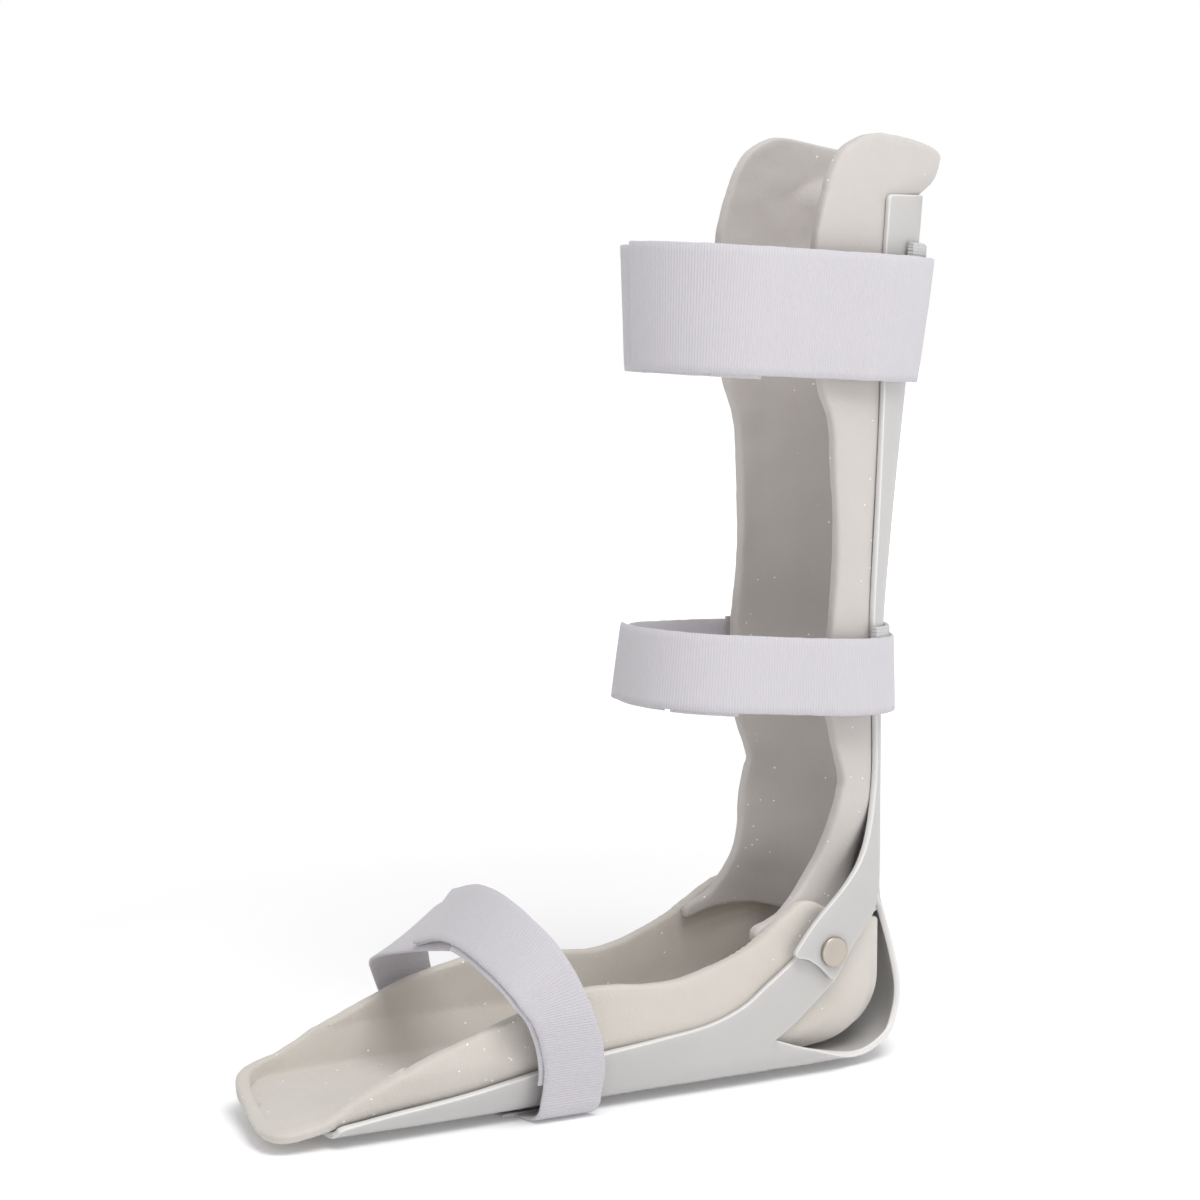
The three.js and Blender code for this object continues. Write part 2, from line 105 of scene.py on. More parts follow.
FOOT_HALF = CALF_RADIUS - SHEET - 2 * GAP  # outside of the foot wings
SOLE_BEND = 8.0
FLAT_HALF = FOOT_HALF - SOLE_BEND
HEEL_CENTRE_Y = 7.4
BAND_START = -25.0  # the slit between foot wing and heel band begins here
SLIT_LOW_Z = 13.5  # and at this height
SLIT_TOP_Y = 29.0  # the slit between calf wing and heel band ends here
BAND_TOP = 66.0  # the band runs into the post at this height
BAND_TOP_Y = 41.0
UPRIGHT_FROM = 19.0  # above this height the walls beside the forefoot stand upright
TOE_DROOP = 3.0  # the foam bends down beyond the plastic

# ---- Smooth curves ----


def ramp(value, start, end):
    """Smooth step from 0 at start to 1 at end."""
    t = np.clip((np.asarray(value, float) - start) / (end - start), 0.0, 1.0)
    return t * t * (3 - 2 * t)


def spline(points, per_span=12):
    """Smooth (Catmull-Rom) run through the points, as a dense polyline."""
    p = np.array(points, float)
    p = np.vstack([2 * p[0] - p[1], p, 2 * p[-1] - p[-2]])
    out = []
    for a, b, c, d in zip(p[:-3], p[1:-2], p[2:-1], p[3:]):
        for t in np.linspace(0, 1, per_span, endpoint=False):
            out.append(0.5 * (2 * b + (c - a) * t + (2 * a - 5 * b + 4 * c - d) * t**2
                              + (3 * b - a - 3 * c + d) * t**3))
    out.append(p[-2])
    return np.array(out)


def graph(points):
    """A smooth function through (x, y) points, for numpy arrays."""
    curve = spline(points)
    order = np.argsort(curve[:, 0])
    return lambda x: np.interp(x, curve[order, 0], curve[order, 1])


def distance_along(line):
    """How far along a polyline each of its points lies."""
    return np.concatenate([[0], np.cumsum(np.linalg.norm(np.diff(line, axis=0), axis=1))])


def unit(vectors):
    """Rows scaled to length one."""
    return vectors / np.linalg.norm(vectors, axis=1, keepdims=True)


def resample(line, step, closed=False):
    """Points along a polyline about one step apart."""
    line = np.array(line, float)
    if closed:
        line = np.vstack([line, line[:1]])
    length = distance_along(line)
    count = max(int(round(length[-1] / step)), 2)
    at = np.linspace(0, length[-1], count + 1)
    out = np.stack([np.interp(at, length, line[:, k]) for k in range(line.shape[1])], axis=1)
    return out[:-1] if closed else out


def wobble(uv, size, amount, seed):
    """Gentle waviness over a surface: a few sine waves in seeded directions."""
    rng = np.random.default_rng(seed)
    total = np.zeros(len(uv))
    for _ in range(7):
        angle = rng.uniform(0, 2 * math.pi)
        wave = 2 * math.pi / (size * rng.uniform(0.6, 1.8))
        phase = rng.uniform(0, 2 * math.pi)
        along = uv[:, 0] * math.cos(angle) + uv[:, 1] * math.sin(angle)
        total += np.sin(along * wave + phase)
    return total * amount / 2.6


# ---- Closed loops ----


def anticlockwise(loop):
    """The loop itself, or its reverse where it runs clockwise."""
    x, y = loop.T
    area = np.sum(x * np.roll(y, -1) - np.roll(x, -1) * y)
    return loop if area > 0 else loop[::-1]


def closed_loop(*sides, step=1.2):
    """One anticlockwise loop from sides that follow each other, joined by straight lines."""
    runs = []
    for side, following in zip(sides, [*sides[1:], sides[0]]):
        runs.append(resample(side, step))
        if np.linalg.norm(side[-1] - following[0]) > 1.5 * step:
            runs.append(resample([side[-1], following[0]], step)[1:-1])
    return anticlockwise(np.vstack(runs))


def smoothed(loop, rounds):
    """A closed run of points, each averaged with its neighbours a number of times."""
    for _ in range(rounds):
        loop = (np.roll(loop, 1, axis=0) + 2 * loop + np.roll(loop, -1, axis=0)) / 4
    return loop


def inside(points, loop):
    """Which points lie inside a closed loop."""
    x, y = points[:, 0][:, None], points[:, 1][:, None]
    x0, y0 = loop[:, 0][None], loop[:, 1][None]
    x1, y1 = np.roll(loop, -1, axis=0).T[:, None]
    crosses = (y0 > y) != (y1 > y)
    at = x0 + (y - y0) / np.where(y1 == y0, 1e-9, y1 - y0) * (x1 - x0)
    return (crosses & (x < at)).sum(axis=1) % 2 == 1


def inset_directions(loop):
    """Inward unit directions of an anticlockwise loop."""
    along = unit(np.roll(loop, -1, axis=0) - np.roll(loop, 1, axis=0))
    return np.stack([-along[:, 1], along[:, 0]], axis=1)


# ---- Meshes ----


def make_object(name, points, faces, uv=None, cut=None):
    """A smooth-shaded mesh from points in millimetres; `cut` is 1 at points on a cut edge."""
    mesh = bpy.data.meshes.new(name)
    mesh.from_pydata((np.asarray(points) * MM).tolist(), [], faces)
    mesh.validate()
    mesh.shade_smooth()
    mesh.set_sharp_from_angle(angle=math.radians(50))
    if uv is not None:
        layer = mesh.uv_layers.new(name="sheet")
        corners = np.zeros(len(mesh.loops), np.int32)
        mesh.loops.foreach_get("vertex_index", corners)
        layer.uv.foreach_set("vector", np.asarray(uv, np.float32)[corners].ravel() * UV_PER_MM)
    if cut is not None:
        mesh.attributes.new("cut_edge", "FLOAT", "POINT").data.foreach_set("value", cut)
    mesh.update()
    obj = bpy.data.objects.new(name, mesh)
    bpy.context.scene.collection.objects.link(obj)
    return obj


def surface_normal(surface, uv):
    """Unit normals of a surface given as a function of flat (u, v) coordinates."""
    eps = 0.4
    du = surface(uv + [eps, 0]) - surface(uv - [eps, 0])
    dv = surface(uv + [0, eps]) - surface(uv - [0, eps])
    return unit(np.cross(du, dv))


def ring_faces(first, second):
    """Quads between two closed rings of point numbers."""
    count = len(first)
    return [(first[i], second[i], second[(i + 1) % count], first[(i + 1) % count])
            for i in range(count)]


def points_within(ring, step):
    """A triangular grid inside a loop, clear of the loop itself."""
    low, high = ring.min(axis=0), ring.max(axis=0)
    across = np.arange(low[0], high[0], step)
    rows = []
    for i, v in enumerate(np.arange(low[1], high[1], step * 0.87)):
        rows.append(np.stack([across + (i % 2) * step / 2, np.full(len(across), v)], axis=1))
    grid = np.vstack(rows)
    grid = grid[inside(grid, ring)]
    to_ring = KDTree(len(ring))
    for i, point in enumerate(ring):
        to_ring.insert((*point, 0), i)
    to_ring.balance()
    return np.array([point for point in grid if to_ring.find((*point, 0))[2] > 0.6 * step])


def filled(ring, step):
    """A loop filled with triangles: its flat points, its faces, and the ring's point numbers."""
    count = len(ring)
    flat = np.vstack([ring, points_within(ring, step)])
    borders = [(i, (i + 1) % count) for i in range(count)]
    net = delaunay_2d_cdt([Vector(p) for p in flat], borders, [], 0, 1e-5, True)
    points, _, triangles, came_from = net[:4]
    flat = np.array([tuple(v) for v in points])
    triangles = np.array([tuple(face) for face in triangles])
    faces = triangles[inside(flat[triangles].mean(axis=1), ring)].tolist()
    place_of = {old: new for new, originals in enumerate(came_from) for old in originals}
    return flat, faces, [place_of[i] for i in range(count)]


def sheet(name, loop, surface, thickness, step, edge, relief, seam=None):
    """A bent sheet of material cut to an anticlockwise loop in its flat (u, v) coordinates.

    surface(uv) gives the outer face, the sheet lies on the side its normal points away from, and
    the cut edge is rounded by `edge`, except where seam(uv) is true. relief(uv, depth) moves
    points out along the normal.
    """
    inwards = inset_directions(loop)
    radius = np.full(len(loop), edge)
    if seam is not None:
        radius[seam(loop)] = 0.0
    flat, face_list, top = filled(loop + inwards * radius[:, None], step)

    def lift(uv, depth):
        """Points of the bent sheet, at a depth below its outer face."""
        depth = np.broadcast_to(depth, len(uv)).astype(float)
        return surface(uv) + surface_normal(surface, uv) * (relief(uv, depth) - depth)[:, None]

    points = [lift(flat, 0.0), lift(flat, thickness)]
    uvs = [flat, flat]
    size = len(flat)
    faces = face_list + [[i + size for i in reversed(face)] for face in face_list]

    quarter = np.linspace(0, math.pi / 2, 4)[1:]
    profile = [(1 - math.sin(a), 1 - math.cos(a)) for a in quarter]
    profile += [(1 - math.cos(a), math.sin(a)) for a in quarter[:-1]]
    previous = top
    for k, (inset, depth) in enumerate(profile):
        uv = loop + inwards * (radius * inset)[:, None]
        in_upper_half = k < len(quarter)
        down = radius * depth if in_upper_half else thickness - radius * (1 - depth)
        start = sum(len(p) for p in points)
        points.append(lift(uv, down))
        uvs.append(uv)
        current = [start + i for i in range(len(loop))]
        faces += ring_faces(previous, current)
        previous = current
    faces += ring_faces(previous, [i + size for i in top])
    points = np.vstack(points)
    on_cut_edge = np.ones(len(points))
    on_cut_edge[:2 * size] = 0.0
    return make_object(name, points, faces, np.vstack(uvs), on_cut_edge)


def ribbon(name, path, width, thickness, lane, seed, relief=0.12):
    """Webbing along a path of (point, outward, across) stations, with rounded edges.

    The path gives the middle of the inner face.
    """
    points, out, across = (np.array(column, float) for column in zip(*path))
    half = width / 2
    lanes = np.linspace(-half, half, max(int(width / lane), 6) + 1)[1:-1]
    edge = thickness / 2
    round_steps = np.linspace(-math.pi / 2, math.pi / 2, 7)[1:-1]
    section = [(u, 0.0) for u in lanes]
    section += [(half - edge + edge * math.cos(a), edge + edge * math.sin(a)) for a in round_steps]
    section += [(u, thickness) for u in lanes[::-1]]
    section += [(-half + edge - edge * math.cos(a), edge - edge * math.sin(a)) for a in round_steps]
    section = np.array(section)
    count = len(section)

    rings, uvs, faces = [], [], []
    for i, distance in enumerate(distance_along(points)):
        uv = np.stack([np.full(count, distance), section[:, 0]], axis=1)
        edge_wave = wobble(uv * [1, 0], 9, 0.08, seed + 5) * np.sign(section[:, 0])
        offset = section[:, 1] + wobble(uv, 34, relief, seed)
        rings.append(points[i] + np.outer(section[:, 0] + edge_wave, across[i])
                     + np.outer(offset, out[i]))
        uvs.append(uv)
    for r in range(len(rings) - 1):
        ring = range(r * count, (r + 1) * count)
        faces += ring_faces(ring, range((r + 1) * count, (r + 2) * count))

    # Each end is closed by quads between the two faces, and a rounded cap on either side.
    turn = len(lanes) + len(round_steps)
    lower = list(range(len(lanes)))
    upper = list(range(turn, turn + len(lanes)))[::-1]
    end = [(lower[k], lower[k + 1], upper[k + 1], upper[k]) for k in range(len(lanes) - 1)]
    end.append((lower[-1], *range(len(lanes), turn), upper[-1]))
    end.append((upper[0], *range(turn + len(lanes), count), lower[0]))
    last = (len(rings) - 1) * count
    faces += end + [tuple(last + i for i in reversed(face)) for face in end]
    return make_object(name, np.vstack(rings), faces, np.vstack(uvs))


def cut_by_hand(loop, fine, broad, trim=0.0):
    """A foam sheet's outline as shears leave it; waves are (size, amount, seed)."""
    wander = wobble(loop, *fine) + wobble(loop, *broad)
    return loop + inset_directions(loop) * (trim + wander)[:, None]


def pressed_in(broad, fine):
    """Relief of a foam sheet whose inner face is dented; waves are (size, amount, seed)."""

    def relief(uv, depth):
        return (wobble(uv, *broad) + wobble(uv, *fine)) * np.clip(depth / FOAM, 0, 1)

    return relief


# ---- Materials ----


class Nodes:
    """A short way to build a material's node tree. Values are plain ones or other nodes' sockets."""

    def __init__(self, name):
        self.material = bpy.data.materials.new(name)
        self.material.use_nodes = True
        self.tree = self.material.node_tree
        self.shader = self.tree.nodes["Principled BSDF"]

    def put(self, value, socket):
        """Sets a socket, or links it to another."""
        if isinstance(value, bpy.types.NodeSocket):
            self.tree.links.new(value, socket)
        else:
            socket.default_value = value

    def add(self, kind, inputs=(), **settings):
        """A new node with these settings, and inputs by name or number."""
        node = self.tree.nodes.new(kind)
        for key, value in settings.items():
            setattr(node, key, value)
        for key, value in dict(inputs).items():
            self.put(value, node.inputs[key])
        return node

    def set(self, **inputs):
        """Sets the material's own shader."""
        for key, value in inputs.items():
            self.put(value, self.shader.inputs[key.replace("_", " ")])

    def place(self):
        """Position on the object, in metres."""
        return self.add("ShaderNodeTexCoord").outputs["Object"]

    def flat(self):
        """Position on the unrolled webbing, in units of 100 mm."""
        return self.add("ShaderNodeUVMap", uv_map="sheet").outputs["UV"]

    def math(self, operation, a, b=0.0, c=0.0):
        return self.add("ShaderNodeMath", {0: a, 1: b, 2: c}, operation=operation).outputs[0]

    def mix(self, share, first, second):
        """A colour between two, each a socket or (red, green, blue)."""
        ends = [c if isinstance(c, bpy.types.NodeSocket) else (*c, 1.0) for c in (first, second)]
        sockets = {0: share, 6: ends[0], 7: ends[1]}  # the node's factor and its two colours
        return self.add("ShaderNodeMix", sockets, data_type="RGBA").outputs["Result"]

    def noise(self, vector, scale, detail=3.0, roughness=0.55):
        return self.add("ShaderNodeTexNoise", {
            "Vector": vector, "Scale": scale, "Detail": detail, "Roughness": roughness,
        }).outputs["Fac"]

    def bump(self, height, strength, distance, normal=None):
        """A bumpy normal, on top of another. The distance is in metres."""
        inputs = {"Height": height, "Strength": strength, "Distance": distance}
        if normal is not None:
            inputs["Normal"] = normal
        return self.add("ShaderNodeBump", inputs).outputs["Normal"]


def plastic_material():
    """White polyolefin sheet: satin, a little translucent, scuffed, with a painted highlight along its
    cut edges.
    """
    nodes = Nodes("white_plastic")
    place = nodes.place()
    cloud = nodes.noise(place, scale=22.0, detail=4.0)
    scuff = nodes.noise(place, scale=260.0, detail=6.0, roughness=0.7)
    colour = nodes.mix(cloud, (0.475, 0.465, 0.46), (0.52, 0.51, 0.50))
    cut = nodes.add("ShaderNodeAttribute", attribute_name="cut_edge").outputs["Fac"]
    # Painted highlight: the colour is mixed towards pale grey along the cut edges, where light catches
    # their rounding and shines through the sheet.
    colour = nodes.mix(nodes.math("MULTIPLY", cut, 0.8), colour, (0.70, 0.69, 0.675))
    roughness = nodes.math("MULTIPLY_ADD", scuff, 0.16, 0.34)
    scuffed = nodes.bump(scuff, strength=0.06, distance=0.0004)
    wavy = nodes.bump(cloud, strength=0.12, distance=0.0012, normal=scuffed)
    nodes.set(Base_Color=colour, Roughness=roughness, Normal=wavy, IOR=1.5, Subsurface_Weight=0.4,
              Subsurface_Radius=(0.006, 0.006, 0.006), Subsurface_Scale=1.0)
    return nodes.material


def foam_material(name, light, dark):
    """Closed-cell foam: matt and soft, with fine cells, and painted glints on a few of them where the
    foam sparkles.
    """
    nodes = Nodes(name)
    place = nodes.place()
    cells = nodes.add("ShaderNodeTexVoronoi", {"Vector": place, "Scale": 900.0, "Randomness": 1.0})
    patch = nodes.noise(place, scale=35.0, detail=5.0, roughness=0.6)
    grit = nodes.noise(place, scale=700.0, detail=3.0, roughness=0.6)

    # Painted highlight: a few random cells are painted near white as glints.
    glint_cells = nodes.add("ShaderNodeTexVoronoi", {"Vector": place, "Scale": 420.0})
    chance = nodes.add("ShaderNodeSeparateColor", {"Color": glint_cells.outputs["Color"]})
    chosen = nodes.math("GREATER_THAN", chance.outputs["Red"], 0.93)
    centre = nodes.math("LESS_THAN", glint_cells.outputs["Distance"], 0.17)
    painted_glint = nodes.math("MULTIPLY", chosen, centre)
    colour = nodes.mix(patch, dark, light)
    colour = nodes.mix(nodes.math("MULTIPLY", painted_glint, 0.8), colour, (0.98, 0.98, 0.98))

    cell_bump = nodes.bump(cells.outputs["Distance"], strength=0.22, distance=0.0003)
    grit_bump = nodes.bump(grit, strength=0.25, distance=0.0004, normal=cell_bump)
    lumps = nodes.bump(patch, strength=0.25, distance=0.0016, normal=grit_bump)
    nodes.set(Base_Color=colour, Roughness=0.92, Normal=lumps, Sheen_Weight=0.25,
              Sheen_Roughness=0.6, Specular_IOR_Level=0.25, Subsurface_Weight=0.15,
              Subsurface_Radius=(0.003, 0.003, 0.0025), Subsurface_Scale=1.0)
    return nodes.material


def webbing_material(name, light, dark):
    """Woven loop webbing: ribs across its width, fine threads along it, a fuzzy sheen, and painted
    shade where the weave lies low.
    """
    rib_pitch, thread_pitch = 1.1, 0.55
    nodes = Nodes(name)
    flat = nodes.flat()
    axes = nodes.add("ShaderNodeSeparateXYZ", {"Vector": flat})
    along, across = axes.outputs["X"], axes.outputs["Y"]
    drift = nodes.noise(flat, scale=90.0, detail=2.0)
    rib_turn = nodes.math("MULTIPLY", along, 2 * math.pi / (rib_pitch * UV_PER_MM))
    rib = nodes.math("SINE", nodes.math("MULTIPLY_ADD", drift, 1.6, rib_turn))
    thread_turn = nodes.math("MULTIPLY", across, 2 * math.pi / (thread_pitch * UV_PER_MM))
    crossing = nodes.math("MULTIPLY", rib, nodes.math("SINE", thread_turn))
    weave = nodes.math("MULTIPLY_ADD", crossing, 0.35, nodes.math("MULTIPLY", rib, 0.65))
    fuzz = nodes.noise(flat, scale=420.0, detail=4.0, roughness=0.7)
    height = nodes.math("MULTIPLY_ADD", fuzz, 0.9, weave)
    # Painted shade: the colour follows the weave's height and goes towards the dark colour in its
    # hollows.
    colour = nodes.mix(nodes.math("MULTIPLY_ADD", height, 0.24, 0.38), dark, light)
    nodes.set(Base_Color=colour, Roughness=0.9, Sheen_Weight=0.3, Sheen_Roughness=0.5,
              Normal=nodes.bump(height, strength=0.35, distance=0.00035), Specular_IOR_Level=0.2)
    return nodes.material


def hook_material():
    """Hook mesh: rows of tiny stiff hooks on a grey-white backing."""
    nodes = Nodes("hook_mesh")
    hooks = nodes.add("ShaderNodeTexVoronoi",
                      {"Vector": nodes.flat(), "Scale": 80.0, "Randomness": 0.25})
    height = hooks.outputs["Distance"]
    nodes.set(Base_Color=nodes.mix(height, (0.62, 0.62, 0.62), (0.38, 0.38, 0.385)),
              Roughness=0.6, Normal=nodes.bump(height, strength=0.8, distance=0.0006))
    return nodes.material


def nickel_material():
    """Nickel-plated steel with a faint turned grain."""
    nodes = Nodes("brushed_nickel")
    place = nodes.place()
    grain = nodes.noise(place, scale=900.0, detail=5.0, roughness=0.7)
    patches = nodes.noise(place, scale=260.0, detail=2.0)
    nodes.set(Base_Color=(0.48, 0.435, 0.38, 1.0), Metallic=1.0,
              Roughness=nodes.math("MULTIPLY_ADD", patches, 0.2, 0.28),
              Normal=nodes.bump(grain, strength=0.12, distance=0.0002))
    return nodes.material


PLASTIC = plastic_material()
CALF_FOAM = foam_material("white_foam", (0.54, 0.505, 0.485), (0.49, 0.46, 0.435))
FOOT_FOAM = foam_material("cream_foam", (0.60, 0.565, 0.52), (0.54, 0.505, 0.46))
# The webbing's darker colour is its painted shade in the weave's hollows.
LOOP_WEBBING = webbing_material("loop_webbing", (0.595, 0.575, 0.605), (0.50, 0.48, 0.51))
HOOK_MESH = hook_material()
NICKEL = nickel_material()


def finish_piece(obj, material, slot, body, *nodes):
    """Gives a piece its material and hangs it on its body in place of CAD nodes."""
    obj.data.materials.append(material)
    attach(obj, body)
    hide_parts(*nodes)


def finish_bending_piece(obj, material, slot, bodies, start, end, *nodes):
    """Gives a piece its material in place of CAD nodes and bakes its place into its mesh; it is hung
    on no body and not made to bend, and bodies, start and end are not used.
    """
    obj.data.materials.append(material)
    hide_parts(*nodes)
    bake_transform(obj)


# ---- Calf: plastic post with its wings, and the calf liner ----


def calf_centre(z):
    """Y of the channel's centre line, which leans back towards the top."""
    return 1 + 18.5 * ramp(z, 140, 380)


# How far back the liner leans above the post, whose top edge pinches it.
flare_above_post = graph([(POST_TOP - 7, 0), (POST_TOP - 4, 0), (POST_TOP - 1, 0.3),
                          (POST_TOP + 2, 4), (POST_TOP + 5, 7.6), (POST_TOP + 9, 9.9),
                          (POST_TOP + 14, 11.2), (POST_TOP + 20, 12.4), (POST_TOP + 26, 13.6)])


def channel_radius(z, radius, tuck):
    """Radius of the channel at height z: near the ankle it is smaller by the tuck."""
    return radius - tuck * (1 - ramp(z, 70, 106))


def calf_surface(radius, tuck=0.0, flared=False):
    """Outer face of a channel of this radius; u is measured round from the middle of the back."""

    def surface(uv):
        u, z = uv[:, 0], uv[:, 1]
        r = channel_radius(z, radius, tuck)
        centre = calf_centre(z) + (flare_above_post(z) if flared else 0)
        angle = np.clip(u / r, -math.pi / 2, math.pi / 2)
        beyond = np.maximum(np.abs(u) - r * math.pi / 2, 0)
        return np.stack([-r * np.sin(angle), centre + r * np.cos(angle) - beyond, z], axis=1)

    return surface


def calf_girth(y, z, radius, tuck=0.0):
    """Distance round the channel from the middle of the back to a side-view point (y, z)."""
    r = channel_radius(z, radius, tuck)
    forward = calf_centre(z) - y
    on_arc = r * np.arccos(np.clip(-forward / r, -1, 1))
    return np.where(forward < 0, on_arc, r * math.pi / 2 + forward)


def both_sides(u, v):
    """The two mirrored sides of a loop, (-u, v) forwards and (u, v) backwards."""
    return np.stack([-u, v], axis=1), np.stack([u, v], axis=1)[::-1]


# Side edges of the calf's plastic in the side view (y, z), from the top down.
post_edge = np.vstack([
    spline([(25, POST_TOP), (23.8, POST_TOP - 1.2), (23.5, POST_TOP - 4)]),
    spline([(23.4, POST_TOP - 6), (22, 310), (23, 260), (22, 190), (22.5, 168), (26, 142),
            (27.3, 118), (24.5, 102), (20.5, 90), (15, 81.2), (8, 74.2), (-7, 60.5),
            (-16.5, 49.5), (-17.5, 47)]),
    spline([(-16, 46), (-11, 44.6), (-5, 40.5), (-1.2, 36.6), (0.6, 35.6)]),
    spline([(2, 36.6), (10.7, 48.3), (18, 54), (24, 58), (27.8, 61.5), (SLIT_TOP_Y, BAND_TOP)]),
])


def build_calf_shell():
    """The post and its two wings, bent to a channel."""
    y, z = post_edge.T
    loop = closed_loop(*both_sides(calf_girth(y, z, CALF_RADIUS), z))
    return sheet(
        "calf_shell_look", loop, calf_surface(CALF_RADIUS), SHEET, 3.0, CUT_EDGE,
        seam=lambda uv: (np.abs(uv[:, 1] - BAND_TOP) < 0.05) & (np.abs(uv[:, 0]) < 60),
        relief=lambda uv, depth: wobble(uv, 70, 0.18, 3) * ramp(uv[:, 1], BAND_TOP, BAND_TOP + 25),
    )


# Side edges of the calf's foam, in the same way.
liner_edge = np.vstack([
    spline([(67, 357), (63, 358), (46, 361.8), (30, 364.8), (20, LINER_TOP + 0.8), (11, 363.6),
            (3, 358), (-3, 347), (-7, 334), (-9.5, 321), (-10, 300), (-9, 271), (-4, 255),
            (-2, 240), (-0.8, 201), (-4, 165), (-4, 145), (-1.3, 129), (2.4, 118), (3.8, 112.5)]),
    spline([(2.6, 110.5), (-1.2, 95), (-3.5, 84.5), (-8.3, 74.5), (-18, 63.4), (-24, 59.7),
            (-30, 57.7)]),
    spline([(-31.6, 56.4), (-32.2, 54), (-31.8, 51.2)]),
    spline([(-30.5, 50.6), (-18, 54), (0, 54), (20, 51), (32, 51)]),
])


def build_calf_liner():
    """The foam inside the post, hand-cut and flared back above it."""
    radius = CALF_RADIUS - SHEET - GAP
    y, z = liner_edge.T
    cut_back = 3.0 * (1 - ramp(z, 290, 330))
    u = calf_girth(y + cut_back - flare_above_post(z), z, radius, LINER_TUCK)
    loop = cut_by_hand(closed_loop(*both_sides(u, z), step=1.5), (9, 0.07, 21), (40, 0.3, 22), 0.4)
    surface = calf_surface(radius, LINER_TUCK, flared=True)
    dents = pressed_in((26, 0.35, 8), (9, 0.12, 9))
    return sheet("calf_liner_look", loop, surface, FOAM, 2.6, 1.5, dents)


finish_piece(build_calf_shell(), PLASTIC, "plastic", "calf", "calf_shell")
finish_piece(build_calf_liner(), CALF_FOAM, "foam", "calf", "calf_liner")

# ---- Foot: sole with side walls and wings, heel band, foot liner ----

# Half width of the foot on the little toe's side, along y.
lateral_half = graph([(-260, 40), (-225, 41), (-200, 42), (-165, 44), (-120, 42),
                      (-65, FOOT_HALF + 2), (-30, FOOT_HALF), (0, FOOT_HALF), (60, FOOT_HALF)])


def wall_lean(y):
    """Slope of the side walls: upright at the ankle, leaning out beside the forefoot."""
    return 0.364 * ramp(-y, 45, 120) * (1 - ramp(-y, 190, 240))


def flat_half(y, side):
    """Half width of the flat floor, on the medial (1) or lateral (-1) side."""
    return np.where(side > 0, FLAT_HALF, lateral_half(y) - SOLE_BEND)


def foot_surface(uv):
    """Outside of the sole: u runs from the middle of the floor up the lateral wall, or, where
    it is negative, up the medial wall."""
    u, y = uv[:, 0], uv[:, 1]
    side = np.where(u >= 0, -1.0, 1.0)
    girth = np.abs(u)
    flat = flat_half(y, side)
    wall_angle = math.pi / 2 - np.arctan(wall_lean(y))
    bend = np.clip((girth - flat) / SOLE_BEND, 0, wall_angle)
    rest = np.maximum(girth - flat - SOLE_BEND * wall_angle, 0)
    x = np.minimum(girth, flat) + SOLE_BEND * np.sin(bend) + rest * np.cos(wall_angle)
    z = SOLE_BEND * (1 - np.cos(bend)) + rest * np.sin(wall_angle)
    return np.stack([side * x, y, z], axis=1)


def foot_girth(y, z, side):
    """Distance across the floor and up the wall to a height z."""
    wall_angle = math.pi / 2 - np.arctan(wall_lean(y))
    bend_top = SOLE_BEND * (1 - np.cos(wall_angle))
    in_bend = SOLE_BEND * np.arccos(np.clip(1 - z / SOLE_BEND, -1, 1))
    above = SOLE_BEND * wall_angle + (z - bend_top) / np.sin(wall_angle)
    return flat_half(y, side) + np.where(z < bend_top, in_bend, above)


# Top edge of the side walls and wings in the side view (y, z), from the toes back and down.
wall_edge = np.vstack([
    spline([(SOLE_FRONT, 3.2), (SOLE_FRONT + 4, 4.8), (-190, 7.3), (-161, 10.4), (-134, 15.3),
            (-107, 19.3), (-78, 21.4), (-56, 23.5), (-40, 28.5), (-28, 36.3), (-15.5, 45),
            (-9, 51)]),
    spline([(-7, 53), (-1, 55.5), (4.5, 52.5), (6.3, 46.5), (6, 41), (3.6, 35.2), (2.3, 33.8)]),
    spline([(1, 32.6), (-3, 29.4), (-13, 21.4), (-21.5, 15.6), (BAND_START, SLIT_LOW_Z)]),
])


def build_foot_shell():
    """The sole with its side walls and foot wings."""
    y, z = wall_edge.T
    medial = np.stack([-foot_girth(y, z, 1.0), y], axis=1)
    lateral = np.stack([foot_girth(y, z, -1.0), y], axis=1)
    front = spline([lateral[0], (30, SOLE_FRONT - 1.5), (0, SOLE_FRONT - 2.2),
                    (-25, SOLE_FRONT - 1.5), medial[0]])
    loop = closed_loop(medial, lateral[::-1], front[1:-1])
    return sheet(
        "foot_shell_look", loop, foot_surface, SHEET, 3.0, CUT_EDGE,
        seam=lambda uv: np.abs(uv[:, 1] - BAND_START) < 0.05,
        relief=lambda uv, depth: wobble(uv, 60, 0.12, 5) * ramp(uv[:, 1], -30, -60),
    )


# The band's centre line in the side view: along the floor, round the heel and up to the post.
band_path = spline([(-40, 0), (BAND_START, 0), (-8, 0), (10, 0), (26, -0.6), (40, 2.4),
                    (48, 10.8), (50.6, 24), (48.2, 40), (44.6, 53), (42.2, 60), (41.1, 64),
                    (BAND_TOP_Y, BAND_TOP), (BAND_TOP_Y, 68), (BAND_TOP_Y, 80)], 24)


def nearest_index(line, point):
    """Which point of a polyline lies nearest to this one."""
    return int(np.argmin(np.linalg.norm(line - point, axis=1)))


band_distance = distance_along(band_path)
band_distance -= band_distance[nearest_index(band_path, (BAND_START, 0))]
BAND_LENGTH = band_distance[nearest_index(band_path, (BAND_TOP_Y, BAND_TOP))]


def path_at(s):
    """Side-view (y, z) of the band's centre line, s along it from where it leaves the sole."""
    return np.interp(s, band_distance, band_path[:, 0]), np.interp(s, band_distance, band_path[:, 1])


GIRTH_STEP = 0.5


